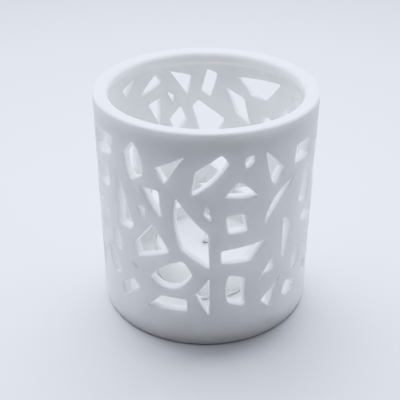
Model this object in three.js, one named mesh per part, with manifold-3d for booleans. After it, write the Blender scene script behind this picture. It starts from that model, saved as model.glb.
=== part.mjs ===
// A porcelain tealight holder: a straight-sided cup whose wall is pierced all round with angular
// cut-outs, and the clear-cup tealight that stands on its floor.
// Millimetres, +Z up, origin at the middle of the foot. Angle 0 is the front (-Y), 90 is +X.
import * as THREE from "three";
import { mergeVertices } from "three/addons/utils/BufferGeometryUtils.js";
import Module from "manifold-3d";

const wasm = await Module();
wasm.setup();

// Driving dimensions of the porcelain cup.
const height = 80;
const outerRadius = 37.75;
const wall = 3.2;
const floorTop = 4.2;
const footRecess = 0.8;
const footRingWidth = 5;
const footRound = 1;
const rimWidth = 4.9;
const rimRound = 1.9;
const lipHeight = 3.2;
const lipBlend = 2.6;
const floorRound = 3;

// Driving dimensions of the tealight: its clear cup, the wax, and the wick in its metal foot.
const cupRadius = 19;
const cupHeight = 16.6;
const cupWall = 0.6;
const cupDraft = 0.6;
const cupRound = 1.2;
const cupLip = 0.4;
const cupLipHeight = 1.2;
const waxHeight = 13.6;
const waxClimb = 0.7;
const waxDip = 0.5;
const sustainerRadius = 6.3;
const sheet = 0.3;
const neckHeight = 3;
const wickRadius = 0.65;
const wickAboveWax = 7;
const wickLean = 1.8;
const fitGap = 0.15;

const roundSteps = 60;
const tealightSteps = 48;
const arcSteps = 3;
const sideStepDegrees = 10;
const bowSteps = 8;
const wickSteps = 12;
const wickSides = 10;

// The cut-outs. Each line is one opening: its corners as [degrees round from the front, height],
// and where a side bows, a third number on the corner it starts from: how far, in mm, away from
// the opening's middle.
const frontCuts = [
  [[-36.6, 73.6, 1.5], [-32, 62.9], [-37.9, 60.6], [-42.1, 64.1], [-42.7, 68.8]],
  [[-24.1, 66.8], [-9.8, 71.7], [-19.6, 62.2]],
  [[-6.4, 58.9], [-4.3, 67], [7.2, 72.6], [10.7, 69.6, 0.8]],
  [[18.5, 70.6], [22.9, 71.5], [22.9, 69], [19.3, 67.3]],
  [[29.3, 71.8], [40.2, 64.2], [35.4, 59.8], [33.3, 61.3]],
  [[9, 58.2], [15.8, 63], [25.6, 57.3]],
  [[0.3, 55, -0.3], [-0.8, 52.6], [0.4, 51], [2.6, 50.2], [1.6, 54]],
  [[10.2, 51.2], [18.9, 51.2], [20.7, 45.2], [11.3, 45.2]],
  [[48.6, 59.6, 2.9], [30.3, 46.3]],
  [[8.2, 38.4], [31.8, 39.9], [23, 33.6], [8.2, 33.9]],
  [[-13.9, 57.2, 1.2], [-11.9, 39.2], [2, 32.1], [1.2, 45, -0.6]],
  [[-31.3, 59], [-23.1, 58.9], [-21.8, 49.9, 0.5]],
  [[-35, 51.9], [-30.6, 51.9], [-31.3, 47.4]],
  [[-47.4, 59.4], [-38.3, 43.6], [-39.9, 41.9], [-49.2, 41.8]],
  [[-26.6, 46.2], [-18, 36.9], [-36, 32.3], [-38, 37]],
  [[-28.3, 25.3, 1.6], [-11, 34], [-6.5, 29.1, 4.3]],
  [[-41, 28.8], [-38, 28.8], [-35.6, 26.6]],
  [[-40, 21.7], [-35.4, 18.8], [-47, 12.8], [-48.5, 17.5]],
  [[-22.8, 19], [-9.2, 19], [-9.2, 14.3], [-30.5, 13.5]],
  [[2.3, 27.9], [-4.6, 21.2], [2.1, 13.2]],
  [[12.1, 28.5], [20.2, 26.8, -0.3], [20.6, 15.8], [12, 18, 0.7]],
  [[28.3, 24.6], [35.4, 31.3], [38, 27.2]],
  [[30.4, 15.5], [42.3, 22.8], [36, 12]],
];
const rightCuts = [
  [[49.4, 69.9], [61.8, 70.1], [62.4, 64], [48.4, 64.2]],
  [[58.6, 60.4], [65.2, 58.6], [66, 52], [62, 47.4], [54.5, 48.4]],
  [[42.6, 45.4], [44.8, 45], [49, 40], [45, 30.2], [43, 30.3]],
  [[57.8, 41.2], [63, 43.6], [73, 43], [75, 38], [61, 38.8]],
  [[53.4, 30.4], [57.8, 29.6], [58.4, 24.4], [54.2, 21.6], [51.8, 22.6]],
  [[63, 32.4], [70, 31], [71.5, 25], [68, 25.2]],
  [[45.2, 13.9], [47, 18.5], [50, 18.2], [58, 15], [58.4, 12.8], [49.4, 12.2]],
  [[64, 20.6], [71, 20], [69.5, 15.6], [65.4, 16.2]],
  [[72.5, 72], [83, 71], [79.5, 63.5], [73, 64.2]],
  [[87.5, 72.6], [103, 68.7], [93, 62.5]],
  [[72.5, 59.8], [84, 59.5], [87.5, 50.5], [73.5, 50]],
  [[92.5, 58.5], [103, 62.6], [99.5, 53.5]],
  [[79.8, 45.8], [91, 47.3], [88, 36], [80.5, 33.8]],
  [[96, 48.8], [102.5, 43.5], [99, 32.5], [93.5, 38]],
  [[76.5, 29.5], [88.2, 31.5], [84, 21.6], [76.8, 23.5]],
  [[93.2, 30.2], [97.5, 24], [91.5, 14.5], [89.8, 21.8]],
  [[75.5, 18.2], [83.5, 17.5], [86.5, 12.5], [77, 13]],
  [[104.5, 33], [112, 30.5], [105, 20.5]],
  [[98, 16.8], [102, 17], [107.5, 13], [98.2, 12.6]],
];
const backCuts = [
  [[108.5, 72], [115, 72], [116, 68], [110, 67]],
  [[129, 71.3], [160, 70], [150.5, 64], [139.5, 63.5]],
  [[168, 65.7], [155.4, 61.8], [150.6, 51.8], [160, 55.4]],
  [[173.2, 70.9], [179, 72.5], [182.6, 64], [177.3, 61.9]],
  [[168, 52.4], [184.8, 60], [188.4, 57.5], [182, 43], [176, 44]],
  [[189.4, 70], [202.8, 72.5], [192, 63]],
  [[200, 62.8], [204.9, 64.2], [201.2, 59.8]],
  [[196.1, 57.8], [203.4, 53], [200, 47.4], [192.5, 52.5]],
  [[213, 72], [208.9, 68.8, 0.4], [224.4, 65.1]],
  [[209.9, 62.4], [218.3, 60.8], [210.8, 51.4]],
  [[228, 72.8], [240, 70.4], [236.4, 67.2]],
  [[107.8, 62.6], [113.8, 60], [115.8, 50.2], [105.5, 47.8]],
  [[122.7, 63.4], [128, 58.8], [131, 48.3], [121.5, 49.6], [119.3, 61.2]],
  [[140.2, 56.8], [146, 46], [137.3, 45.2], [134.6, 56.1]],
  [[107.5, 43.2], [120.5, 44.8], [113.5, 36]],
  [[116.8, 31], [127, 29.8], [124.2, 22.8]],
  [[113, 23.3], [118.5, 20.5], [121.5, 13.2], [112.8, 14]],
  [[134, 33.5], [141, 30], [137, 22.4], [131.5, 27]],
  [[127, 18.8], [134, 18], [142, 13], [127.4, 12.8]],
  [[153, 46.5], [161.5, 48.2], [166, 46.2], [160, 41.5]],
  [[143.5, 41.2], [152.3, 41.8], [155, 38.8], [145, 38.2]],
  [[178, 32.6], [168.5, 28.2], [158.5, 35], [167, 39]],
  [[145.5, 33.2], [154.3, 31], [150.5, 28.2]],
  [[159.9, 21.7], [146, 25.3], [141.5, 19.6], [150, 18.8]],
  [[186, 23.1], [172, 23.3], [168.5, 16.6]],
  [[155, 16.8], [163, 16.4], [161, 12.2], [148.4, 12.6]],
  [[175.5, 15.4], [183.2, 17], [182, 12.3], [174.5, 12.3]],
  [[187, 40.4], [193, 46.2], [197, 40], [190, 33]],
  [[201.5, 42.8], [213.3, 45.2], [210.5, 37.4], [202, 37.8]],
  [[191.8, 27.4], [203, 28.4], [199.5, 19.8], [193, 21.2]],
  [[188.8, 16.8], [199, 15.2], [201.5, 12.6], [187.4, 12.6]],
  [[217.6, 42.8], [223.5, 38.5], [221, 31.2], [216.5, 34]],
  [[209, 23.5], [216.2, 27.8], [218.8, 18], [211, 16.6]],
];
const leftCuts = [
  [[228.3, 49.2], [240.8, 48.5], [240, 38.6], [229.5, 37.2]],
  [[229, 31.8], [239.3, 33.4], [236, 22.8]],
  [[223.5, 26], [230.2, 22.6], [232, 14], [224.2, 13.6]],
  [[238.4, 17.4], [244.2, 15.8], [246, 12.4], [237.6, 12.6]],
  [[244.5, 60], [254.3, 64], [257, 54.7], [246.5, 52.7]],
  [[246.2, 46.8], [257, 48.8], [252.5, 38.2], [246, 36.8]],
  [[245.2, 31.3], [252.5, 33.2], [258, 27], [249, 19.7]],
  [[251.8, 14.3], [258.3, 20], [257.8, 12.6]],
  [[266, 72], [281, 72.3], [278.5, 66], [268.5, 62.2]],
  [[266, 57.2], [276, 60.3], [284, 56.4], [276, 48], [267.4, 49]],
  [[266.5, 44.3], [272.3, 42.4], [277, 33], [267.5, 30.2]],
  [[280.6, 38.8], [285, 38.4], [287.4, 29.6], [283, 28.6]],
  [[266.5, 25], [276.3, 27.2], [278.2, 19.6], [270, 13.4]],
  [[283, 23.4], [291, 25.8], [294.2, 21.6], [287.6, 13.4]],
  [[-71, 71.2], [-51.4, 72.3], [-53.3, 66], [-64, 63.7], [-73, 64.8]],
  [[-69.5, 59], [-58.1, 61.6], [-55.8, 54.8], [-58.5, 52.6], [-69, 52.5]],
  [[-76.5, 46.4], [-64.8, 47.8], [-66.2, 44.6], [-75.5, 42.8]],
  [[-69.6, 36.6], [-64.2, 41.4], [-58.2, 43.8], [-61.8, 33.2], [-66.2, 32.6]],
  [[-53.8, 39.4], [-49.8, 37.4], [-47.9, 35], [-48.8, 30.6], [-54.6, 31.4]],
  [[-62.9, 28.3], [-58.7, 29.5], [-49.8, 23], [-51.4, 20.6], [-55.2, 19.6]],
];

const radians = (degrees) => THREE.MathUtils.degToRad(degrees);

// One side of a cut-out as points on the unrolled wall, without its end point.
function side(start, end, bow, middle) {
  const along = end.clone().sub(start);
  const across = new THREE.Vector2(along.y, -along.x).normalize();
  const centre = start.clone().add(end).multiplyScalar(0.5);
  if (across.dot(centre.clone().sub(middle)) < 0) across.negate();
  const control = centre.addScaledVector(across, 2 * bow);
  const turn = Math.abs(along.x) / (outerRadius * radians(sideStepDegrees));
  const steps = Math.max(Math.ceil(turn), bow ? bowSteps : 1);
  return new THREE.QuadraticBezierCurve(start, control, end).getPoints(steps).slice(0, -1);
}

function outline(corners) {
  const points = corners.map(([degrees, z]) => new THREE.Vector2(outerRadius * radians(degrees), z));
  const middle = new THREE.Vector2();
  for (const point of points) middle.addScaledVector(point, 1 / points.length);
  return points.flatMap((point, i) => {
    const next = points[(i + 1) % points.length];
    const bow = corners[i][2] ?? 0;
    return side(point, next, bow, middle);
  });
}

// A closed three.js geometry as a manifold solid.
function solid(geometry) {
  const bare = geometry.clone();
  bare.deleteAttribute("normal");
  bare.deleteAttribute("uv");
  const merged = mergeVertices(bare, 1e-4);
  return new wasm.Manifold(
    new wasm.Mesh({
      numProp: 3,
      vertProperties: merged.attributes.position.array,
      triVerts: new Uint32Array(merged.index.array),
    }),
  );
}

function geometryOf(manifold) {
  const { vertProperties, triVerts } = manifold.getMesh();
  const geometry = new THREE.BufferGeometry();
  geometry.setAttribute("position", new THREE.BufferAttribute(vertProperties, 3));
  geometry.setIndex(new THREE.BufferAttribute(triVerts, 1));
  geometry.computeVertexNormals();
  return geometry;
}

// A prism over a cut-out's outline, bent round the wall so that its sides run straight at the axis.
function cutter(corners) {
  const clear = 3;
  const depth = rimWidth + 2 * clear;
  const shape = new THREE.Shape(outline(corners));
  const geometry = new THREE.ExtrudeGeometry(shape, { depth, bevelEnabled: false });
  const position = geometry.attributes.position;
  for (let i = 0; i < position.count; i++) {
    const angle = position.getX(i) / outerRadius;
    const radius = outerRadius - rimWidth - clear + position.getZ(i);
    position.setXYZ(i, radius * Math.sin(angle), -radius * Math.cos(angle), position.getY(i));
  }
  return solid(geometry);
}

// A lathe turned about Z from a profile of (radius, height) points.
function turned(points, steps) {
  return new THREE.LatheGeometry(points, steps).rotateX(Math.PI / 2);
}

function holderProfile() {
  const innerRadius = outerRadius - wall;
  const lipRadius = outerRadius - rimWidth;
  const lipBottom = height - lipHeight;
  const footInner = outerRadius - footRingWidth;
  const path = new THREE.Path();
  path.moveTo(0, footRecess);
  path.lineTo(footInner - footRecess, footRecess);
  path.lineTo(footInner, 0);
  path.absarc(outerRadius - footRound, footRound, footRound, -Math.PI / 2, 0);
  path.absarc(outerRadius - rimRound, height - rimRound, rimRound, 0, Math.PI / 2);
  path.absarc(lipRadius + rimRound, height - rimRound, rimRound, Math.PI / 2, Math.PI);
  path.lineTo(lipRadius, lipBottom);
  path.bezierCurveTo(
    lipRadius, lipBottom - lipBlend / 2,
    innerRadius, lipBottom - lipBlend / 2,
    innerRadius, lipBottom - lipBlend,
  );
  path.absarc(innerRadius - floorRound, floorTop + floorRound, floorRound, 0, -Math.PI / 2, true);
  path.lineTo(0, floorTop);
  return path.getPoints(arcSteps);
}

function holderGeometry() {
  const cuts = [...frontCuts, ...rightCuts, ...backCuts, ...leftCuts].map(cutter);
  const shell = solid(turned(holderProfile(), roundSteps));
  return geometryOf(shell.subtract(wasm.Manifold.union(cuts)));
}

// The clear cup: thin drafted wall, rounded bottom edge and a small bead round the top.
function cupGeometry() {
  const baseRadius = cupRadius - cupDraft;
  const path = new THREE.Path();
  path.moveTo(0, 0);
  path.lineTo(baseRadius - cupRound, 0);
  path.absarc(baseRadius - cupRound, cupRound, cupRound, -Math.PI / 2, 0);
  path.lineTo(cupRadius, cupHeight - cupLipHeight);
  path.lineTo(cupRadius + cupLip, cupHeight - cupLipHeight);
  path.lineTo(cupRadius + cupLip, cupHeight);
  path.lineTo(cupRadius - cupWall, cupHeight);
  path.absarc(baseRadius - cupRound, cupRound, cupRound - cupWall, 0, -Math.PI / 2, true);
  path.lineTo(0, cupWall);
  return turned(path.getPoints(arcSteps), tealightSteps);
}

// The wax fills the cup below its rim, round the sustainer's disc and neck and the wick.
function waxGeometry() {
  const bottom = cupWall + fitGap;
  const discTop = bottom + sheet + fitGap;
  const neckTop = bottom + neckHeight + fitGap;
  const wickHole = wickRadius + fitGap;
  const neckHole = wickHole + sheet + fitGap;
  const discHole = sustainerRadius + fitGap;
  const footRadius = cupRadius - cupDraft - cupRound;
  const topRadius = cupRadius - cupWall - fitGap - cupDraft * (1 - waxHeight / cupHeight);
  const path = new THREE.Path();
  path.moveTo(neckHole, discTop);
  path.lineTo(discHole, discTop);
  path.lineTo(discHole, bottom);
  path.absarc(footRadius, cupRound, cupRound - bottom, -Math.PI / 2, 0);
  path.lineTo(topRadius, waxHeight + waxClimb);
  path.quadraticCurveTo(topRadius - waxClimb / 2, waxHeight, topRadius - 3 * waxClimb, waxHeight);
  path.quadraticCurveTo(topRadius / 2, waxHeight - waxDip, wickHole, waxHeight - waxDip);
  path.lineTo(wickHole, neckTop);
  path.lineTo(neckHole, neckTop);
  path.lineTo(neckHole, discTop);
  return turned(path.getPoints(arcSteps), tealightSteps);
}

// The pressed metal foot that keeps the wick upright: a disc with a short neck.
function sustainerGeometry() {
  const hole = wickRadius + fitGap;
  const profile = [
    [hole, 0],
    [sustainerRadius, 0],
    [sustainerRadius, sheet],
    [hole + sheet, sheet],
    [hole + sheet, neckHeight],
    [hole, neckHeight],
    [hole, 0],
  ];
  return turned(profile.map(([r, z]) => new THREE.Vector2(r, z)), tealightSteps);
}

// The wick runs straight up through the wax, then leans a little.
function wickGeometry() {
  const waxTop = waxHeight - cupWall;
  const tip = waxTop + wickAboveWax;
  const path = new THREE.CurvePath();
  const exit = new THREE.Vector3(0, 0, waxTop);
  path.add(new THREE.LineCurve3(new THREE.Vector3(), exit));
  const upright = new THREE.Vector3(0, 0, waxTop + wickAboveWax / 2);
  path.add(new THREE.QuadraticBezierCurve3(exit, upright, new THREE.Vector3(wickLean, 0, tip)));
  const section = new THREE.Shape().absarc(0, 0, wickRadius, 0, 2 * Math.PI);
  return new THREE.ExtrudeGeometry(section, {
    steps: wickSteps,
    curveSegments: wickSides,
    extrudePath: path,
  });
}

const root = new THREE.Group();

function add(parent, name, geometry, colour, roughness, metalness, extra = {}) {
  const material = new THREE.MeshStandardMaterial({ color: colour, roughness, metalness, ...extra });
  const mesh = new THREE.Mesh(geometry, material);
  mesh.name = name;
  parent.add(mesh);
  return mesh;
}

add(root, "holder", holderGeometry(), 0xf1f1f2, 0.5, 0);

const tealight = new THREE.Group();
tealight.position.z = floorTop + fitGap;
root.add(tealight);
add(tealight, "tealight_cup", cupGeometry(), 0xe9eef0, 0.08, 0, { transparent: true, opacity: 0.35 });
add(tealight, "tealight_wax", waxGeometry(), 0xf4f1e8, 0.45, 0);
add(tealight, "wick_sustainer", sustainerGeometry(), 0xb9babd, 0.3, 1).position.z = cupWall + fitGap;
add(tealight, "wick", wickGeometry(), 0xf0ece0, 0.9, 0).position.z = cupWall + fitGap;

export default root;
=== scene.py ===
import math

import bpy
import numpy as np
from mathutils import Matrix, Vector
from mathutils.geometry import delaunay_2d_cdt


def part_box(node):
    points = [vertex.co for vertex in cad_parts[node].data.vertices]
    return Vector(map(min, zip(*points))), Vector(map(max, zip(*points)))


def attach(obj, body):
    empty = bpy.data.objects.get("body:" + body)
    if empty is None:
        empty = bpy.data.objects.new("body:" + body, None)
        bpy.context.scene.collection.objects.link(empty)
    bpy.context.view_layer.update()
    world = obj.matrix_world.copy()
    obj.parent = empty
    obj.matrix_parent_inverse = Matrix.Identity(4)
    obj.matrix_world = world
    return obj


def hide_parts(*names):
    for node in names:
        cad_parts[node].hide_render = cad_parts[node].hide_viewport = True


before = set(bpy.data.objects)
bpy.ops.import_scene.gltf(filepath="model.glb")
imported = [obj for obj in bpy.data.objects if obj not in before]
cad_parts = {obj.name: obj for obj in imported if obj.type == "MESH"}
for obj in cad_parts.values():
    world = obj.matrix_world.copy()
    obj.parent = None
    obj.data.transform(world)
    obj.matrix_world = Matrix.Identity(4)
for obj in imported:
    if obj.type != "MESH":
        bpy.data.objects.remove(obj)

MM = 0.001
TURN = 2 * math.pi
QUARTER = math.pi / 2
NEARLY_ZERO = 1e-6
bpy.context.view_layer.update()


def node_box(name):
    """Lowest and highest corner of a CAD node in millimetres."""
    low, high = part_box(name)
    return np.array(low) / MM, np.array(high) / MM


# The holder's section. Its outside comes from the CAD node, the rest from these thicknesses.
# The rim's top falls inwards by RIM_FALL degrees, between a tight outer and a soft inner rounding.
RADIUS, _, HEIGHT = node_box("holder")[1]
WALL = 3.2
RIM_WIDTH = 4.9
RIM_EDGE = 0.9
RIM_ROUND = 1.9
RIM_FALL = 5.0
LIP_HEIGHT = 3.2
LIP_BLEND = 2.6
FLOOR_TOP = 4.2
FLOOR_ROUND = 3.0
FOOT_ROUND = 1.0
FOOT_RING = 5.0
FOOT_RECESS = 0.8
INNER_RADIUS = RADIUS - WALL
LIP_RADIUS = RADIUS - RIM_WIDTH

# How finely the holder is meshed, and how soft the cut-outs' edges and corners are.
COLUMNS = 240
SHEET_STEP = 1.6
SHEET_CLEARANCE = 0.62 * SHEET_STEP
SIDE_STEP = 0.85
SIDE_SAMPLES = 101
CORNER_STEPS = 4
CORNER_ROUND = 0.75
CORNER_SHARE = 0.3
EDGE_ROUND = 0.5
EDGE_STEPS = 3


# ---------------------------------------------------------------- meshes

class Surface:
    """The points, normals, painted values and faces of one mesh while it is put together."""

    def __init__(self):
        self.points = []
        self.normals = []
        self.rub_and_highlight = []
        self.glow = []
        self.faces = []

    def add(self, points, normals, rub_and_highlight=0.0, glow=0.0):
        """Adds points and returns their numbers, with a value for rubbing, which on the porcelain's
        edges also carries a painted highlight, and one for glow, light let through.
        """
        first = len(self.points)
        self.points.extend(np.asarray(points, float))
        self.normals.extend(np.asarray(normals, float))
        self.rub_and_highlight.extend([rub_and_highlight] * len(points))
        self.glow.extend([glow] * len(points))
        return np.arange(first, first + len(points))

    def join_rings(self, ring, following):
        """Quads between two closed rings of point numbers."""
        after, after_following = np.roll(ring, -1), np.roll(following, -1)
        self.faces.extend(np.stack([ring, after, after_following, following], 1).tolist())

    def fan(self, ring, centre):
        """Triangles from a closed ring to one point."""
        self.faces.extend([a, b, centre] for a, b in zip(ring.tolist(), np.roll(ring, -1).tolist()))

    def object(self, name, material):
        """The Blender object, with its normals and painted values."""
        mesh = bpy.data.meshes.new(name)
        mesh.from_pydata((np.array(self.points) * MM).tolist(), [], self.faces)
        mesh.shade_smooth()
        mesh.normals_split_custom_set_from_vertices(np.array(self.normals).tolist())
        for label, values in (("rub_and_highlight", self.rub_and_highlight), ("glow", self.glow)):
            attribute = mesh.attributes.new(label, "FLOAT", "POINT")
            attribute.data.foreach_set("value", np.array(values, np.float32))
        mesh.materials.append(material)
        made = bpy.data.objects.new(name, mesh)
        bpy.context.scene.collection.objects.link(made)
        return made


def around(angle, radius, height):
    """Points on a cylinder."""
    height = np.broadcast_to(height, np.shape(angle))
    return np.stack([radius * np.sin(angle), -radius * np.cos(angle), height], -1)


def tilted(angle, outward, along, upward):
    """Vectors at those angles from their outward, sideways and upward parts."""
    x = outward * np.sin(angle) + along * np.cos(angle)
    y = -outward * np.cos(angle) + along * np.sin(angle)
    return np.stack([x, y, np.broadcast_to(upward, np.shape(angle))], -1)


def unit(vectors):
    """Rows of vectors, each at length one."""
    return vectors / np.linalg.norm(vectors, axis=1, keepdims=True)


# Pieces of a lathe profile, each as rows of radius, height and the direction the profile runs in.

def line(start, end, steps=1):
    """A straight stretch."""
    start, end = np.array(start, float), np.array(end, float)
    points = start + np.linspace(0, 1, steps + 1)[:, None] * (end - start)
    heading = (end - start) / np.linalg.norm(end - start)
    return np.hstack([points, np.tile(heading, (steps + 1, 1))])


def arc(centre, radius, start, end, steps):
    """Part of a circle between two angles in degrees, measured from straight outwards."""
    angle = np.radians(np.linspace(start, end, steps + 1))
    way = 1 if end > start else -1
    outward = np.stack([np.cos(angle), np.sin(angle)], 1)
    heading = way * np.stack([-np.sin(angle), np.cos(angle)], 1)
    return np.hstack([np.array(centre) + radius * outward, heading])


def s_curve(start, end, steps):
    """From one upright line to another, upright at both ends."""
    t = np.linspace(0, 1, steps + 1)
    (r0, z0), (r1, z1) = start, end
    radius = r0 + (r1 - r0) * (3 * t**2 - 2 * t**3)
    height = z0 + (z1 - z0) * t
    slope = np.stack([(r1 - r0) * 6 * t * (1 - t), np.full_like(t, z1 - z0)], 1)
    return np.hstack([np.stack([radius, height], 1), unit(slope)])


def level_s_curve(start, end, steps):
    """From one level line to another, level at both ends."""
    swapped = s_curve(start[::-1], end[::-1], steps)
    return swapped[:, [1, 0, 3, 2]]


def profile(*parts):
    """Joins profile pieces. Where they meet smoothly, the point they share is kept once."""
    same_heading = 0.999
    rows = [parts[0]]
    for part in parts[1:]:
        repeats = np.allclose(part[0, :2], rows[-1][-1, :2], atol=NEARLY_ZERO)
        smooth = repeats and part[0, 2:] @ rows[-1][-1, 2:] > same_heading
        rows.append(part[1:] if smooth else part)
    return np.vstack(rows)


def lathe(surface, rows, angles, start=None, closed=False, shape=None):
    """Turns profile rows about Z, and returns the last ring.

    Start is the first row's ring where it is made already, closed joins the last ring to the first,
    and shape is a function that changes a ring's radii and heights.
    """
    previous = first = start
    for number, (radius, height, run, rise) in enumerate(rows):
        if number == 0 and start is not None:
            continue
        if radius < NEARLY_ZERO:
            centre = surface.add([[0, 0, height]], [[0, 0, -run]])[0]
            if previous is None:
                previous = centre
            else:
                surface.fan(previous, centre)
            continue
        radii, heights = np.full(len(angles), radius), np.full(len(angles), height)
        if shape:
            radii, heights = shape(angles, radii, heights)
        ring = surface.add(around(angles, radii, heights), tilted(angles, rise, 0, -run))
        if previous is None:
            first = ring
        elif isinstance(previous, (int, np.integer)):
            surface.fan(ring[::-1], previous)
        else:
            surface.join_rings(previous, ring)
        previous = ring
    if closed:
        surface.join_rings(previous, first)
    return previous


# ---------------------------------------------------------------- cut-outs

def cad_outlines():
    """The cut-outs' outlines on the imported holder's outer wall, each as rows of angle and height.

    An outline is a closed chain of edges that only one triangle of the outer wall has. The chains
    that are level all round are the wall's own top and bottom.
    """
    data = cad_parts["holder"].data
    data.calc_loop_triangles()
    points = np.empty(3 * len(data.vertices), np.float32)
    data.vertices.foreach_get("co", points)
    triangles = np.empty(3 * len(data.loop_triangles), np.int32)
    data.loop_triangles.foreach_get("vertices", triangles)
    decimals = 3
    rounded = np.round(points.reshape(-1, 3).astype(float) / MM, decimals)
    points, number = np.unique(rounded, axis=0, return_inverse=True)
    triangles = number.reshape(-1)[triangles].reshape(-1, 3)
    facet_depth = 0.1
    on_wall = np.hypot(points[:, 0], points[:, 1]) > RADIUS - facet_depth
    triangles = triangles[on_wall[triangles].all(axis=1)]
    edges = {(a, b) for t in triangles.tolist() for a, b in zip(t, t[1:] + t[:1])}
    following = {b: a for a, b in edges if (b, a) not in edges}
    outlines = []
    while following:
        first, place = following.popitem()
        loop = [first]
        while place != first:
            loop.append(place)
            place = following.pop(place)
        ring = points[loop]
        if np.ptp(ring[:, 2]) < facet_depth:
            continue
        angle = np.unwrap(np.arctan2(ring[:, 0], -ring[:, 1]))
        outlines.append(np.stack([angle, ring[:, 2]], 1))
    return sorted(outlines, key=lambda o: tuple(o.mean(axis=0)))


def cross(first, second):
    """The cross product of rows of flat vectors."""
    return first[:, 0] * second[:, 1] - first[:, 1] * second[:, 0]


def reach_along(chain):
    """How far along a chain of points each point lies."""
    steps = np.linalg.norm(np.diff(chain, axis=0), axis=1)
    return np.concatenate([[0], np.cumsum(steps)])


def along_chain(chain, distances):
    """Points at those distances along a chain of points."""
    reach = reach_along(chain)
    return np.stack([np.interp(distances, reach, chain[:, i]) for i in (0, 1)], 1)


def corner_numbers(loop):
    """The numbers of the outline's points at its corners, where it turns most in a short stretch."""
    window, least_turn = 0.7, math.radians(20)
    closed = np.vstack([loop, loop[:1]])
    reach = reach_along(closed)
    place, whole = reach[:-1], reach[-1]
    before = loop - along_chain(closed, (place - window) % whole)
    after = along_chain(closed, (place + window) % whole) - loop
    turn = np.abs(np.arctan2(cross(before, after), (before * after).sum(axis=1)))
    found = []
    for i in np.argsort(-turn):
        gaps = [abs((place[i] - place[j] + whole / 2) % whole - whole / 2) for j in found]
        if turn[i] > least_turn and all(gap > window for gap in gaps):
            found.append(i)
    return sorted(found)


def bezier(start, control, end, t):
    """Points on a quadratic curve, at shares of its length from 0 to 1."""
    t = np.asarray(t, float)[:, None]
    return (1 - t) ** 2 * start + 2 * t * (1 - t) * control + t**2 * end


def side_control(chain):
    """The control point of the quadratic curve that follows one side of an outline."""
    straight, rounds, samples = 0.09, 5, 201
    start, end = chain[0], chain[-1]
    heading = (end - start) / np.linalg.norm(end - start)
    off = (chain - start) @ np.array([-heading[1], heading[0]])
    if np.abs(off).max() < straight:
        return (start + end) / 2
    reach = reach_along(chain)
    t = reach / reach[-1]
    fine = np.linspace(0, 1, samples)
    for _ in range(rounds):
        weight = (2 * t * (1 - t))[:, None]
        rest = chain - ((1 - t) ** 2)[:, None] * start - (t**2)[:, None] * end
        control = (weight * rest).sum(axis=0) / (weight**2).sum()
        gaps = np.linalg.norm(chain[:, None] - bezier(start, control, end, fine)[None], axis=2)
        t = fine[gaps.argmin(axis=1)]
    return control


def smooth_outline(outline):
    """A CAD outline again with even steps, true curves and slightly rounded corners."""
    loop = outline * [RADIUS, 1]
    corners = corner_numbers(loop)
    sides = []
    for i, first in enumerate(corners):
        last = corners[(i + 1) % len(corners)]
        count = (last - first) % len(loop) or len(loop)
        chain = loop[(first + np.arange(count + 1)) % len(loop)]
        control = side_control(chain)
        fine = bezier(chain[0], control, chain[-1], np.linspace(0, 1, SIDE_SAMPLES))
        whole = reach_along(fine)[-1]
        trim = min(CORNER_ROUND, CORNER_SHARE * whole)
        steps = max(2, math.ceil((whole - 2 * trim) / SIDE_STEP))
        sides.append(along_chain(fine, np.linspace(trim, whole - trim, steps + 1)))
    points = []
    for i, (side, first) in enumerate(zip(sides, corners)):
        before = sides[i - 1][-1]
        turn = bezier(before, loop[first], side[0], np.linspace(0, 1, CORNER_STEPS + 1))
        points.extend(turn[1:])
        points.extend(side[1:])
    return np.array(points) / [RADIUS, 1]


def seam_angle(outlines):
    """The middle of the widest strip of wall that no cut-out reaches."""
    spans = sorted((o[:, 0].min() % TURN, np.ptp(o[:, 0])) for o in outlines)
    reach, best, seam = spans[0][0], 0, 0
    for start, width in spans + [(spans[0][0] + TURN, 0)]:
        if start - reach > best:
            best, seam = start - reach, (start + reach) / 2
        reach = max(reach, start + width)
    return seam


def edge_rows():
    """A cut-out's edge from the outer wall to the inner: radius, setback, and the normal's parts."""
    sweep = np.linspace(0, QUARTER, EDGE_STEPS + 1)
    setback, depth = EDGE_ROUND * (1 - np.sin(sweep)), EDGE_ROUND * (1 - np.cos(sweep))
    outer = np.stack([RADIUS - depth, setback, np.cos(sweep), np.sin(sweep)], 1)
    inner = np.stack([INNER_RADIUS + depth, setback, -np.cos(sweep), np.sin(sweep)], 1)
    return np.vstack([outer, inner[::-1]])


def inward(outline, radius):
    """Unit vectors across the outline at a radius, as sideways and upward parts, into the cut-out."""
    loop = outline * [radius, 1]
    steps = unit(np.roll(loop, -1, axis=0) - loop)
    heading = unit(steps + np.roll(steps, 1, axis=0))
    return np.stack([-heading[:, 1], heading[:, 0]], 1)


def cut_edge(surface, outline):
    """The rounded edge of one cut-out. Returns its outer and inner rings, each with its outline.

    The edge is rubbed smoother and painted lighter most halfway round its roundings, a painted
    highlight where shade falls on them, and glows most on the cut face between them.
    """
    rings = []
    for radius, setback, outward, into in edge_rows():
        across = inward(outline, radius)
        placed = outline - setback * across / [radius, 1]
        angle = placed[:, 0]
        normals = tilted(angle, outward, into * across[:, 0], into * across[:, 1])
        # Rubbing and painted highlight together: strongest halfway round each rounding, none on the
        # flat wall or the cut face.
        rub_and_highlight = min(1.0, 2 * min(abs(outward), into))
        ring = surface.add(around(angle, radius, placed[:, 1]), normals, rub_and_highlight, math.sqrt(into))
        rings.append((ring, placed))
    for (ring, _), (following, _) in zip(rings, rings[1:]):
        surface.join_rings(ring, following)
    return rings[0], rings[-1]


# ---------------------------------------------------------------- pierced wall

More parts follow.
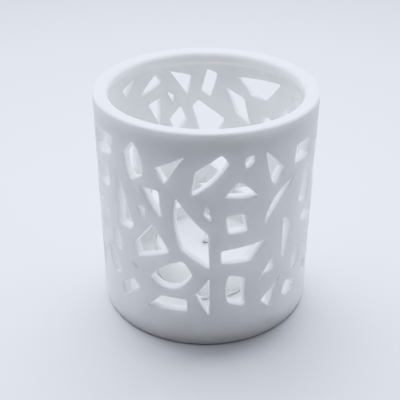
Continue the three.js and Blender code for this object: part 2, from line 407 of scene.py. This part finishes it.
def inside(points, loop):
    """Which points lie inside a closed outline, by how often a line to the right crosses it."""
    level_rise = 1e-12
    x, y = points[:, :1], points[:, 1:]
    ax, ay = loop[:, 0], loop[:, 1]
    bx, by = np.roll(ax, -1), np.roll(ay, -1)
    rise = np.where(by == ay, level_rise, by - ay)
    crossing = ((ay > y) != (by > y)) & (x < ax + (y - ay) / rise * (bx - ax))
    return crossing.sum(axis=1) % 2 == 1


def near(points, loop, margin):
    """The numbers of the points in the box round an outline."""
    low, high = loop.min(axis=0) - margin, loop.max(axis=0) + margin
    return np.flatnonzero(((points > low) & (points < high)).all(axis=1))


def filling(low, high, left, width, loops):
    """Evenly spread points on the unrolled wall, clear of the cut-outs and of its borders."""
    row_step = SHEET_STEP * math.sqrt(3) / 2
    rows = round((high - low) / row_step)
    count = round(width / SHEET_STEP)
    odd_shift, even_shift = 0.5, 0.25
    points = []
    for row in range(1, rows):
        shift = odd_shift if row % 2 else even_shift
        x = left + (np.arange(count) + shift) * width / count
        points.append(np.stack([x, np.full(count, low + (high - low) * row / rows)], 1))
    points = np.vstack(points)
    side_margin = SHEET_CLEARANCE / 2
    keep = (points[:, 0] > left + side_margin) & (points[:, 0] < left + width - side_margin)
    for loop in loops:
        close = near(points, loop, SHEET_CLEARANCE)
        gaps = np.linalg.norm(points[close][:, None] - loop[None], axis=2).min(axis=1)
        keep[close[(gaps < SHEET_CLEARANCE) | inside(points[close], loop)]] = False
    return points[keep]


class FlatWall:
    """A wall unrolled flat: its points, their numbers on the cylinder, and its border lines."""

    def __init__(self):
        self.points = []
        self.numbers = []
        self.borders = []

    def add(self, points, ring):
        """Adds flat points, with the numbers of their points on the cylinder."""
        self.points.extend(points.tolist())
        self.numbers.extend(ring.tolist())

    def border(self, points, ring):
        """Adds a closed line that no triangle crosses."""
        first, count = len(self.points), len(points)
        self.add(points, ring)
        self.borders.extend((first + i, first + (i + 1) % count) for i in range(count))

    def triangles(self, loops):
        """Fills the wall outside the cut-outs' loops, and returns triangles of cylinder numbers."""
        same_place, sliver = 1e-7, 1e-9
        flat = [Vector(point) for point in self.points]
        made, _, faces, origins, _, _ = delaunay_2d_cdt(flat, self.borders, [], 0, same_place, True)
        numbers = np.array([self.numbers[origin[0]] for origin in origins])
        place = np.array([list(point) for point in made])
        faces = np.array([list(face) for face in faces])
        a, b, c = (place[faces[:, k]] for k in range(3))
        doubled_area = cross(b - a, c - a)
        reversed_faces = doubled_area < 0
        faces[reversed_faces] = faces[reversed_faces][:, ::-1]
        keep = np.abs(doubled_area) > sliver
        middle = (a + b + c) / 3
        for loop in loops:
            close = near(middle, loop, 0)
            keep[close[inside(middle[close], loop)]] = False
        return numbers[faces[keep]]


def pierced_wall(surface, radius, facing, low, high, seam, edges):
    """A cylinder's wall between two rings of points, left open inside the cut-outs' rings.

    The wall is unrolled from the seam, filled with triangles as a flat sheet, and rolled up again by
    giving each flat point the number of its point on the cylinder. Facing is 1 for a wall seen from
    outside and -1 for one seen from inside.
    """
    left, width = seam * radius, TURN * radius
    low_z, high_z = (surface.points[ring[0]][2] for ring in (low, high))
    loops = [outline * [radius, 1] for _, outline in edges]
    seam_rows = round((high_z - low_z) / SHEET_STEP)
    seam_z = np.linspace(low_z, high_z, seam_rows + 1)[1:-1]
    left_side = np.stack([np.full(seam_rows - 1, left), seam_z], 1)
    fill = filling(low_z, high_z, left, width, loops)

    def rolled_up(flat):
        """Adds flat points to the mesh, back on the cylinder."""
        angles = flat[:, 0] / radius
        return surface.add(around(angles, radius, flat[:, 1]), tilted(angles, facing, 0, 0))

    side_ring, fill_ring = rolled_up(left_side), rolled_up(fill)
    columns = left + np.linspace(0, width, COLUMNS + 1)
    bottom = np.stack([columns, np.full(COLUMNS + 1, low_z)], 1)
    top = np.stack([columns, np.full(COLUMNS + 1, high_z)], 1)
    right_side = left_side + [width, 0]
    wall = FlatWall()
    wall.border(
        np.vstack([bottom, right_side, top[::-1], left_side[::-1]]),
        np.concatenate([low, low[:1], side_ring, high[:1], high[::-1], side_ring[::-1]]),
    )
    for (ring, _), loop in zip(edges, loops):
        wall.border(loop, ring)
    wall.add(fill, fill_ring)
    faces = wall.triangles(loops)
    surface.faces.extend((faces if facing > 0 else faces[:, ::-1]).tolist())


# ---------------------------------------------------------------- holder

def foot_profile():
    """The recessed bottom, the ring the holder stands on, and the rounded edge up to the wall."""
    ring_inside = RADIUS - FOOT_RING
    recess_edge = ring_inside - FOOT_RECESS
    return profile(
        line((0, FOOT_RECESS), (recess_edge, FOOT_RECESS), 6),
        line((recess_edge, FOOT_RECESS), (ring_inside, 0), 2),
        line((ring_inside, 0), (RADIUS - FOOT_ROUND, 0), 2),
        arc((RADIUS - FOOT_ROUND, FOOT_ROUND), FOOT_ROUND, -90, 0, 6),
    )


def rim_profile():
    """The rim from the outer wall over its top, down the lip and back to the inner wall."""
    fall = math.radians(RIM_FALL)
    outer_centre = RADIUS - RIM_EDGE, HEIGHT - RIM_EDGE
    across = outer_centre[0] - LIP_RADIUS - RIM_ROUND
    drop = (across * math.sin(fall) + RIM_ROUND - RIM_EDGE) / math.cos(fall)
    inner_centre = LIP_RADIUS + RIM_ROUND, outer_centre[1] - drop
    outer_arc = profile(
        arc(outer_centre, RIM_EDGE, 0, 90, 8),
        arc(outer_centre, RIM_EDGE, 90, 90 + RIM_FALL, 1),
    )
    inner_arc = arc(inner_centre, RIM_ROUND, 90 + RIM_FALL, 180, 9)
    lip_end = LIP_RADIUS, HEIGHT - LIP_HEIGHT
    wall_start = INNER_RADIUS, HEIGHT - LIP_HEIGHT - LIP_BLEND
    return profile(
        outer_arc,
        line(outer_arc[-1, :2], inner_arc[0, :2]),
        inner_arc,
        line(inner_arc[-1, :2], lip_end),
        s_curve(lip_end, wall_start, 8),
    )


def floor_profile():
    """The rounded corner at the foot of the inner wall, and the floor."""
    floor_edge = INNER_RADIUS - FLOOR_ROUND
    return profile(
        arc((floor_edge, FLOOR_TOP + FLOOR_ROUND), FLOOR_ROUND, 0, -90, 8),
        line((floor_edge, FLOOR_TOP), (0, FLOOR_TOP), 8),
    )


def holder(material):
    """The porcelain cup: turned foot, rim and floor, with a pierced wall outside and inside."""
    outlines = cad_outlines()
    seam = seam_angle(outlines)
    surface = Surface()
    outer_edges, inner_edges = [], []
    for outline in outlines:
        turns = math.floor((outline[:, 0].mean() - seam) / TURN)
        outer, inner = cut_edge(surface, smooth_outline(outline - [turns * TURN, 0]))
        outer_edges.append(outer)
        inner_edges.append(inner)
    angles = seam + np.arange(COLUMNS) * TURN / COLUMNS
    rim, floor = rim_profile(), floor_profile()
    foot_high = lathe(surface, foot_profile(), angles)
    rim_low = surface.add(around(angles, RADIUS, rim[0, 1]), tilted(angles, 1, 0, 0))
    lip_low = lathe(surface, rim, angles, start=rim_low)
    floor_high = surface.add(around(angles, INNER_RADIUS, floor[0, 1]), tilted(angles, -1, 0, 0))
    lathe(surface, floor, angles, start=floor_high)
    pierced_wall(surface, RADIUS, 1, foot_high, rim_low, seam, outer_edges)
    pierced_wall(surface, INNER_RADIUS, -1, floor_high, lip_low, seam, inner_edges)
    return surface.object("holder_porcelain", material)


# ---------------------------------------------------------------- tealight

# The tealight's section, and the gaps that CAD keeps between its parts.
CUP_WALL = 0.6
CUP_ROUND = 1.2
CUP_LIP = 0.4
CUP_LIP_HEIGHT = 1.2
CUP_DRAFT = 0.6
WAX_CLIMB = 0.7
WAX_DIP = 0.5
FOOT_SHEET = 0.3
FIT_GAP = 0.15
TEALIGHT_COLUMNS = 120
ROUND_ANGLES = np.arange(TEALIGHT_COLUMNS) * TURN / TEALIGHT_COLUMNS


def lifted(rows, height):
    """Profile rows moved up."""
    return rows + [0, height, 0, 0]


def wick_box():
    """Lowest and highest corner of the wick, and the radius of its round upright part."""
    low, high = node_box("wick")
    return low, high, (high[1] - low[1]) / 2


def clear_cup(material):
    """Thin drafted wall, stepped foot, rounded bottom edge and a rolled bead round the top."""
    low, high = node_box("tealight_cup")
    top = high[2] - low[2]
    outer = high[0]
    side = outer - CUP_LIP
    base = side - CUP_DRAFT
    step, step_height = base - 2.7, 0.25
    step_start, step_end = step - 0.5, step + 0.5
    round_centre = base - CUP_ROUND, CUP_ROUND
    ledge = top - CUP_LIP_HEIGHT
    ledge_round, lip_round = 0.3, 0.1
    bead_start = outer, top - CUP_LIP_HEIGHT / 2
    bead_round = (CUP_LIP + CUP_WALL) / 2
    bead_centre = outer - bead_round, top - bead_round
    rows = profile(
        line((0, step_height), (step_start, step_height), 4),
        level_s_curve((step_start, step_height), (step_end, 0), 4),
        line((step_end, 0), (round_centre[0], 0)),
        arc(round_centre, CUP_ROUND, -90, 0, 6),
        line((base, CUP_ROUND), (side, ledge - ledge_round), 4),
        arc((side + ledge_round, ledge - ledge_round), ledge_round, 180, 90, 3),
        arc((outer - lip_round, ledge + lip_round), lip_round, -90, 0, 2),
        line((outer, ledge + lip_round), bead_start),
        arc(bead_centre, bead_round, 0, 180, 10),
        line((outer - 2 * bead_round, bead_centre[1]), (base - CUP_WALL, CUP_ROUND), 5),
        arc(round_centre, CUP_ROUND - CUP_WALL, 0, -90, 5),
        line((round_centre[0], CUP_WALL), (0, CUP_WALL), 4),
    )
    surface = Surface()
    lathe(surface, lifted(rows, low[2]), ROUND_ANGLES)
    return surface.object("tealight_cup_clear", material)


def wax_top(edge, snug, level):
    """The wax's top from the cup's wall to the wick: dished, and climbing at both."""
    points, wall_reach = 33, 0.6 * WAX_CLIMB
    wick_climb, wick_reach = 0.35, 0.9
    dip = level - WAX_DIP
    radius = edge + (snug - edge) * np.linspace(0, 1, points)
    height = dip + WAX_DIP * (radius / edge) ** 2
    height += WAX_CLIMB * np.exp(-(edge - radius) / wall_reach)
    height += wick_climb * np.exp(-(radius - snug) / wick_reach)
    slope = np.stack([np.gradient(radius), np.gradient(height)], 1)
    return np.hstack([np.stack([radius, height], 1), unit(slope)])


def wax_fill(material):
    """The wax, poured: it climbs the cup's wall and the wick, and its top has cooled unevenly."""
    low, high = node_box("tealight_wax")
    cup_low, cup_high = node_box("tealight_cup")
    _, foot_high = node_box("wick_sustainer")
    _, _, wick_radius = wick_box()
    bottom = low[2] - cup_low[2]
    edge = high[0]
    level = high[2] - cup_low[2] - WAX_CLIMB
    disc = foot_high[0] + FIT_GAP
    disc_top = bottom + FOOT_SHEET + FIT_GAP
    neck_top = foot_high[2] - cup_low[2] + FIT_GAP
    wick_hole = wick_radius + FIT_GAP
    neck_hole = wick_hole + FOOT_SHEET + FIT_GAP
    snug = wick_radius + 0.05 * FIT_GAP
    round_start = cup_high[0] - CUP_LIP - CUP_DRAFT - CUP_ROUND
    round_size = CUP_ROUND - bottom
    top = wax_top(edge, snug, level)
    snug_height = top[-1, 1]
    snug_depth, hole_depth = 0.5, 1.0
    rows = profile(
        line((neck_hole, disc_top), (disc, disc_top), 2),
        line((disc, disc_top), (disc, bottom)),
        line((disc, bottom), (round_start, bottom), 3),
        arc((round_start, CUP_ROUND), round_size, -90, 0, 5),
        line((round_start + round_size, CUP_ROUND), top[0, :2], 6),
        top,
        line((snug, snug_height), (snug, snug_height - snug_depth)),
        line((snug, snug_height - snug_depth), (wick_hole, snug_height - hole_depth)),
        line((wick_hole, snug_height - hole_depth), (wick_hole, neck_top), 3),
        line((wick_hole, neck_top), (neck_hole, neck_top)),
        line((neck_hole, neck_top), (neck_hole, disc_top), 2),
    )

    def cooled(angles, radii, heights):
        """The uneven top, fading out well below it, at the cup's wall and at the wick."""
        unevenness, depth_fade, wall_fade, wick_fade = 0.05, 0.6, 2.0, 3.0
        fade_low = level - WAX_DIP - depth_fade
        share = np.clip((heights - fade_low) / depth_fade, 0, 1)
        share *= np.clip((edge - radii) / wall_fade, 0, 1) * np.clip(radii / wick_fade, 0, 1)
        wave = np.sin(3 * angles + 0.35 * radii) + 0.6 * np.sin(5 * angles - 0.6 * radii + 1)
        return radii, heights + unevenness * share * wave

    surface = Surface()
    lathe(surface, lifted(rows, cup_low[2]), ROUND_ANGLES, closed=True, shape=cooled)
    return surface.object("tealight_wax_fill", material)


def sustainer_foot(material):
    """The pressed metal foot: a disc with a turned-down edge and a crimped neck."""
    low, high = node_box("wick_sustainer")
    height, outer = high[2] - low[2], high[0]
    _, _, wick_radius = wick_box()
    hole = wick_radius + FIT_GAP
    neck = hole + FOOT_SHEET
    bend, neck_round = 0.25, 0.1
    hollow = 0.05
    edge_round = FOOT_SHEET / 2
    edge_start, edge_centre = outer - 0.8, outer - edge_round
    rows = profile(
        line((hole, hollow), (edge_start, hollow), 4),
        line((edge_start, hollow), (edge_centre, 0)),
        arc((edge_centre, edge_round), edge_round, -90, 90, 6),
        line((edge_centre, FOOT_SHEET), (neck + bend, FOOT_SHEET), 5),
        arc((neck + bend, FOOT_SHEET + bend), bend, 270, 180, 4),
        line((neck, FOOT_SHEET + bend), (neck, height - neck_round), 6),
        arc((neck - neck_round, height - neck_round), neck_round, 0, 90, 2),
        line((neck - neck_round, height), (hole, height)),
        line((hole, height), (hole, hollow), 6),
    )

    def crimped(angles, radii, heights):
        """Four shallow dents in the neck's outside that grip the wick."""
        dent, dent_low, dent_fade, margin = 0.1, 1.2, 0.5, 0.01
        share = np.clip((heights - low[2] - dent_low) / dent_fade, 0, 1)
        share *= (radii > hole + margin) & (radii < neck + margin)
        return radii - dent * share * (0.5 + 0.5 * np.cos(4 * angles)), heights

    surface = Surface()
    lathe(surface, lifted(rows, low[2]), ROUND_ANGLES, closed=True, shape=crimped)
    return surface.object("sustainer_foot", material)


def braided_wick(material):
    """Cotton strands plaited round a straight core, leaning over at the top."""
    low, high, radius = wick_box()
    rows, sides = 150, 32
    pitch, core, sharpness, under = 2.4, 0.84, 0.6, 0.96
    tip_narrowing, tip_height, tip_drop, end_relief_shade = 0.75, 0.12, 0.25, 0.9
    lean = high[0] - radius
    bend_start = node_box("tealight_wax")[1][2] - WAX_CLIMB
    tip = high[2] - tip_drop * radius
    free = tip - bend_start
    along = np.linspace(low[2], tip, rows)
    t = np.clip((along - bend_start) / free, 0, 1)
    centre = np.stack([lean * t**2, np.zeros(rows), along], 1)
    heading = unit(np.stack([2 * lean * t / free, np.zeros(rows), np.ones(rows)], 1))
    level = np.array([0.0, 1.0, 0.0])
    across = np.cross(level, heading)
    turn = np.arange(sides) * TURN / sides
    phase = TURN * along[:, None] / pitch
    right = np.abs(np.cos(2 * turn[None] - phase)) ** sharpness
    left = np.abs(np.cos(2 * turn[None] + phase)) ** sharpness
    strands = np.maximum(right, under * left)
    reach = radius * (core + (1 - core) * strands)
    reach[-1] *= tip_narrowing
    ring = np.cos(turn)[None, :, None] * across[:, None] + np.sin(turn)[None, :, None] * level
    points = centre[:, None] + reach[:, :, None] * ring
    surface = Surface()
    rings = [surface.add(*row) for row in zip(points, ring)]
    for previous, following in zip(rings, rings[1:]):
        surface.join_rings(previous, following)
    start = surface.add([centre[0]], [-heading[0]])[0]
    surface.fan(rings[0][::-1], start)
    end = surface.add([centre[-1] + tip_height * radius * heading[-1]], [heading[-1]])[0]
    surface.fan(rings[-1], end)
    wick = surface.object("wick_braid", material)
    # The strands' relief goes onto the points, for the painted shade that darkens the cotton in the
    # valleys between strands and at the narrowed tip.
    values = np.concatenate([reach.ravel() / radius, [end_relief_shade, end_relief_shade]]).astype(np.float32)
    attribute = wick.data.attributes.new("strand_relief_shade", "FLOAT", "POINT")
    attribute.data.foreach_set("value", values)
    wick.data.normals_split_custom_set([(0, 0, 0)] * len(wick.data.loops))
    return wick


# ---------------------------------------------------------------- materials

class Shader:
    """A node material put together by calls. A value given to a call can be a number or a socket."""

    def __init__(self, name):
        self.material = bpy.data.materials.new(name)
        self.material.use_nodes = True
        self.tree = self.material.node_tree
        self.surface = self.tree.nodes["Principled BSDF"]
        self.output = self.tree.nodes["Material Output"]
        self.place = self.node("ShaderNodeTexCoord").outputs["Object"]

    def node(self, kind, inputs=None, **settings):
        """A new node with its settings and inputs."""
        made = self.tree.nodes.new(kind)
        for key, value in settings.items():
            setattr(made, key, value)
        self.set(made, inputs or {})
        return made

    def set(self, made, inputs):
        """Links or fills a node's inputs, which are given by name or number."""
        for key, value in inputs.items():
            if isinstance(value, bpy.types.NodeSocket):
                self.tree.links.new(value, made.inputs[key])
            else:
                made.inputs[key].default_value = value

    def noise(self, size, detail=2.0, roughness=0.5, distortion=0.0):
        """Noise whose features are about size millimetres."""
        inputs = {
            "Vector": self.place,
            "Scale": 1 / (size * MM),
            "Detail": detail,
            "Roughness": roughness,
            "Distortion": distortion,
        }
        return self.node("ShaderNodeTexNoise", inputs).outputs["Fac"]

    def ramp(self, value, low, high, start=0.0, end=1.0):
        """A value from low to high as the input goes from start to end."""
        inputs = {0: value, 1: start, 2: end, 3: low, 4: high}
        return self.node("ShaderNodeMapRange", inputs, clamp=True).outputs[0]

    def blend(self, share, first, second):
        """A colour between two. The node's colours are its inputs 6 and 7, and its output 2."""
        made = self.node("ShaderNodeMix", {0: share, 6: first, 7: second}, data_type="RGBA")
        return made.outputs[2]

    def layer(self, share, first, second):
        """A shader between two."""
        return self.node("ShaderNodeMixShader", {0: share, 1: first, 2: second}).outputs[0]

    def maths(self, operation, a, b):
        """A sum, product or other operation on two values."""
        return self.node("ShaderNodeMath", {0: a, 1: b}, operation=operation).outputs[0]

    def attribute(self, name):
        """A value painted on the mesh's points."""
        return self.node("ShaderNodeAttribute", attribute_name=name).outputs["Fac"]

    def bump(self, height, depth, strength=1.0, normal=None):
        """A bump of that depth in millimetres, on top of another."""
        inputs = {"Height": height, "Distance": depth * MM, "Strength": strength}
        if normal:
            inputs["Normal"] = normal
        return self.node("ShaderNodeBump", inputs).outputs["Normal"]


def bisque_porcelain():
    """Unglazed white porcelain: fine grain, faint clouding, softly sanded edges and a painted
    highlight on the cut-outs' rounded edges.
    """
    shader = Shader("bisque_porcelain")
    clouds = shader.noise(16, detail=4, roughness=0.55)
    clouds = shader.ramp(clouds, 0, 1, start=0.35, end=0.65)
    colour = shader.blend(clouds, (0.912, 0.911, 0.908, 1), (0.943, 0.942, 0.938, 1))
    specks = shader.noise(0.9, detail=3, roughness=0.6)
    specks = shader.ramp(specks, 0, 0.5, start=0.66, end=0.74)
    colour = shader.blend(specks, colour, (0.865, 0.862, 0.86, 1))
    # Painted highlight: the cut-outs' rounded edges are mixed towards a lighter white where shade
    # falls on them; their lower roughness below is real rubbing.
    rub_and_highlight = shader.attribute("rub_and_highlight")
    edge_highlight_share = shader.maths("MULTIPLY", rub_and_highlight, 0.5)
    colour = shader.blend(edge_highlight_share, colour, (0.95, 0.95, 0.948, 1))
    grain = shader.noise(0.35, detail=3, roughness=0.6)
    rough = shader.ramp(grain, 0.5, 0.62, start=0.3, end=0.7)
    rough = shader.maths("SUBTRACT", rough, shader.maths("MULTIPLY", rub_and_highlight, 0.1))
    waves = shader.bump(shader.noise(14, detail=1), depth=0.25, strength=0.6)
    fine = shader.bump(grain, depth=0.03, strength=0.5, normal=waves)
    reach = shader.ramp(shader.attribute("glow"), 2.8 * MM, 9.0 * MM)
    shader.set(
        shader.surface,
        {
            "Base Color": colour,
            "Roughness": rough,
            "Specular IOR Level": 0.35,
            "Subsurface Weight": 1.0,
            "Subsurface Radius": (1.0, 1.0, 1.0),
            "Subsurface Scale": reach,
            "Normal": fine,
        },
    )
    return shader.material


def clear_plastic():
    """Clear moulded plastic with a matt base. Only the camera sees it: light passes through."""
    shader = Shader("clear_plastic")
    flow = shader.noise(5, detail=2, roughness=0.4, distortion=0.5)
    flow = shader.bump(flow, depth=0.12, strength=0.5)
    scuffs = shader.noise(1.2, detail=4, roughness=0.6)
    scuffs = shader.ramp(scuffs, 0.03, 0.12, start=0.5, end=0.7)
    tint = shader.blend(shader.noise(8), (0.985, 0.99, 0.99, 1), (0.995, 0.995, 0.995, 1))
    clear = shader.node("ShaderNodeBsdfTransparent", {"Color": tint}).outputs[0]
    gloss = {"Color": (0.9, 0.92, 0.93, 1), "Roughness": scuffs, "Normal": flow}
    shine = shader.node("ShaderNodeBsdfGlossy", gloss).outputs[0]
    facing = shader.node("ShaderNodeLayerWeight", {"Blend": 0.5, "Normal": flow}).outputs["Facing"]
    grazing = shader.ramp(shader.maths("POWER", facing, 5.0), 0.04, 0.5)
    seen = shader.node("ShaderNodeLightPath").outputs["Is Camera Ray"]
    reflected = shader.maths("MULTIPLY", grazing, seen)
    whole = shader.node("ShaderNodeTexCoord").outputs["Generated"]
    height = shader.node("ShaderNodeSeparateXYZ", {0: whole}).outputs["Z"]
    matt = shader.ramp(height, 0.85, 0.14, start=0.09, end=0.15)
    milky = shader.maths("MULTIPLY", matt, seen)
    white = {"Color": (0.95, 0.95, 0.95, 1)}
    milk = shader.node("ShaderNodeBsdfTranslucent", white).outputs[0]
    chalk = shader.node("ShaderNodeBsdfDiffuse", white).outputs[0]
    body = shader.layer(milky, clear, shader.layer(0.8, milk, chalk))
    mixed = shader.layer(reflected, body, shine)
    shader.set(shader.output, {"Surface": mixed})
    shader.tree.nodes.remove(shader.surface)
    return shader.material


def white_wax():
    """Paraffin wax: soft inside light, faint crystals and a dull skin."""
    shader = Shader("white_wax")
    mottle = shader.noise(2.2, detail=5, roughness=0.6, distortion=0.8)
    mottle = shader.ramp(mottle, 0, 1, start=0.3, end=0.7)
    crystals_per_metre = 900
    crystal = {"Vector": shader.place, "Scale": crystals_per_metre}
    crystals = shader.node("ShaderNodeTexVoronoi", crystal).outputs["Distance"]
    frost = shader.bump(crystals, depth=0.06, strength=0.3)
    skin = shader.bump(shader.noise(0.8, detail=3), depth=0.04, strength=0.5, normal=frost)
    shader.set(
        shader.surface,
        {
            "Base Color": shader.blend(mottle, (0.935, 0.935, 0.935, 1), (0.96, 0.96, 0.96, 1)),
            "Roughness": shader.ramp(mottle, 0.36, 0.5),
            "Subsurface Weight": 1.0,
            "Subsurface Radius": (1.0, 1.0, 0.97),
            "Subsurface Scale": 10 * MM,
            "Normal": skin,
        },
    )
    return shader.material


def tinned_steel():
    """Thin rolled sheet with drawing marks and dull spots."""
    shader = Shader("tinned_steel")
    marks_per_metre, narrowing = 700, 14
    drawn = {"Vector": shader.place, "Scale": (1, narrowing, 1)}
    drawn = shader.node("ShaderNodeMapping", drawn).outputs[0]
    marks = {"Vector": drawn, "Scale": marks_per_metre, "Detail": 3}
    marks = shader.node("ShaderNodeTexNoise", marks).outputs["Fac"]
    spots = shader.ramp(shader.noise(1.5, detail=3), 0, 1, start=0.45, end=0.65)
    shader.set(
        shader.surface,
        {
            "Base Color": shader.blend(spots, (0.62, 0.63, 0.64, 1), (0.72, 0.72, 0.73, 1)),
            "Metallic": 1.0,
            "Roughness": shader.ramp(marks, 0.25, 0.42),
            "Normal": shader.bump(marks, depth=0.02, strength=0.5),
        },
    )
    return shader.material


def waxed_cotton():
    """Plaited cotton thread, primed with wax, with painted shade darkening the valleys between its
    strands.
    """
    shader = Shader("waxed_cotton")
    # Painted shade: the cotton is darker in the valleys between the strands and on the narrowed top
    # ring, lighter on the strands' crests.
    strand_relief_shade = shader.ramp(shader.attribute("strand_relief_shade"), 0, 1, start=0.8, end=1.0)
    fibres = shader.noise(0.12, detail=3, roughness=0.7)
    shader.set(
        shader.surface,
        {
            "Base Color": shader.blend(strand_relief_shade, (0.74, 0.73, 0.70, 1), (0.92, 0.915, 0.895, 1)),
            "Roughness": shader.ramp(fibres, 0.6, 0.85),
            "Sheen Weight": 0.2,
            "Subsurface Weight": 0.15,
            "Subsurface Scale": 0.4 * MM,
            "Normal": shader.bump(fibres, depth=0.04, strength=0.8),
        },
    )
    return shader.material


def pale_floor():
    """Pale, slightly blue paper that fades into the room's walls far from the object."""
    shader = Shader("pale_floor")
    clouds = shader.noise(60, detail=3)
    shader.set(
        shader.surface,
        {
            "Base Color": shader.blend(clouds, (0.785, 0.79, 0.81, 1), (0.795, 0.80, 0.82, 1)),
            "Roughness": 0.75,
            "Specular IOR Level": 0.25,
            "Normal": shader.bump(shader.noise(0.8), depth=0.02, strength=0.3),
        },
    )
    distance = shader.node("ShaderNodeVectorMath", {0: shader.place}, operation="LENGTH")
    fade = shader.ramp(distance.outputs["Value"], 0, 1, start=120 * MM, end=600 * MM)
    clear = shader.node("ShaderNodeBsdfTransparent").outputs[0]
    mixed = shader.layer(fade, shader.surface.outputs[0], clear)
    shader.set(shader.output, {"Surface": mixed})
    return shader.material


# ---------------------------------------------------------------- studio

def studio_floor(material):
    """A wide sheet under the object."""
    half = 2500.0
    surface = Surface()
    corners = [[-half, -half, 0], [half, -half, 0], [half, half, 0], [-half, half, 0]]
    surface.add(corners, [[0, 0, 1]] * 4)
    surface.faces.append([0, 1, 2, 3])
    floor = surface.object("studio_floor", material)


def camera():
    """The photograph's viewpoint, in holder radii, with its turns in radians and its lens in mm."""
    radius = RADIUS * MM
    back, height = 6.201, 4.5944
    pitch, yaw, roll = 0.5321, -0.0082, 0.0027
    lens, sensor = 67.44465, 36
    nearest, farthest = 0.01, 20
    ahead = Vector((
        math.sin(yaw) * math.cos(pitch),
        math.cos(yaw) * math.cos(pitch),
        -math.sin(pitch),
    ))
    right = ahead.cross(Vector((0, 0, 1))).normalized()
    up = right.cross(ahead)
    turned_right = math.cos(roll) * right + math.sin(roll) * up
    turned_up = math.cos(roll) * up - math.sin(roll) * right
    data = bpy.data.cameras.new("camera")
    data.sensor_width = sensor
    data.lens = lens
    data.clip_start, data.clip_end = nearest, farthest
    place = Matrix.Translation((0, -back * radius, height * radius))
    turned = Matrix((turned_right, turned_up, -ahead)).transposed().to_4x4()
    made = bpy.data.objects.new("camera", data)
    made.matrix_world = place @ turned
    bpy.context.scene.collection.objects.link(made)
    bpy.context.scene.camera = made


def softbox(name, place, target, size, power):
    """A square light at a place in metres, turned to its target."""
    data = bpy.data.lights.new(name, "AREA")
    data.shape = "SQUARE"
    data.size = size
    data.energy = power
    made = bpy.data.objects.new(name, data)
    made.location = place
    aim = Vector(target) - Vector(place)
    made.rotation_euler = aim.to_track_quat("-Z", "Y").to_euler()
    bpy.context.scene.collection.objects.link(made)


def lights():
    """Soft boxes above, behind and at the sides, so that the front is lit mostly by the floor."""
    centre = (0, 0, HEIGHT * MM / 2)
    boxes = [
        ("overhead", (0, 0.08, 0.55), 0.45, 1.3),
        ("overhead_high", (0, 0.05, 1.3), 0.3, 0.95),
        ("left_high", (-0.55, 0.1, 1.1), 0.35, 1.0),
        ("back_top", (0, 0.8, 1.2), 0.8, 7.3),
        ("back_left", (-0.65, 0.65, 0.9), 0.7, 4.9),
        ("back_right", (0.8, 0.8, 0.75), 0.7, 4.8),
        ("left_side", (-1.2, 0, 0.55), 0.8, 1.95),
        ("right_side", (1.2, 0, 0.55), 0.8, 1.85),
    ]
    for name, place, size, power in boxes:
        softbox(name, place, centre, size, power)


def surroundings():
    """Pale walls that the camera can see past the floor's edge, and that hardly light the room."""
    world = bpy.data.worlds.new("studio")
    world.use_nodes = True
    tree = world.node_tree
    seen, lit = 0.6, 0.05
    path = tree.nodes.new("ShaderNodeLightPath")
    strength = tree.nodes.new("ShaderNodeMapRange")
    strength.inputs["To Min"].default_value = lit
    strength.inputs["To Max"].default_value = seen
    tree.links.new(path.outputs["Is Camera Ray"], strength.inputs["Value"])
    background = tree.nodes["Background"]
    background.inputs["Color"].default_value = (0.98, 0.99, 1.0, 1)
    tree.links.new(strength.outputs[0], background.inputs["Strength"])
    bpy.context.scene.world = world


def camera_response():
    """A camera's contrast and cool white balance: deep shadows, and highlights that level off.

    Each bend gives how bright a light level is shown, as a share of the channel's brightest.
    """
    brightest_light, chart_width = 2.5, 3.0
    bends = [(0.15, 0.115), (0.3, 0.285), (0.5, 0.59), (0.75, 0.79), (1.0, 0.885), (1.3, 0.915)]
    white_balance = (0.885, 0.925, 1.0)
    view = bpy.context.scene.view_settings
    view.view_transform = "Standard"
    view.use_curve_mapping = True
    mapping = view.curve_mapping
    mapping.clip_max_x = chart_width
    for channel, most in enumerate(white_balance):
        curve = mapping.curves[channel]
        curve.points[1].location = (brightest_light, most)
        for light, shown in bends:
            curve.points.new(light, shown * most)
    mapping.update()


# Each piece's mesh, material, body, CAD node and material slot.
PIECES = [
    (holder, bisque_porcelain, "holder", "holder", "porcelain"),
    (clear_cup, clear_plastic, "tealight", "tealight_cup", "clear_cup"),
    (wax_fill, white_wax, "tealight", "tealight_wax", "wax"),
    (sustainer_foot, tinned_steel, "tealight", "wick_sustainer", "tinned_steel"),
    (braided_wick, waxed_cotton, "tealight", "wick", "cotton"),
]
for build, finish, body, node, slot in PIECES:
    piece = build(finish())
    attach(piece, body)
    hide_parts(node)

studio_floor(pale_floor())
lights()
surroundings()
camera_response()
camera()
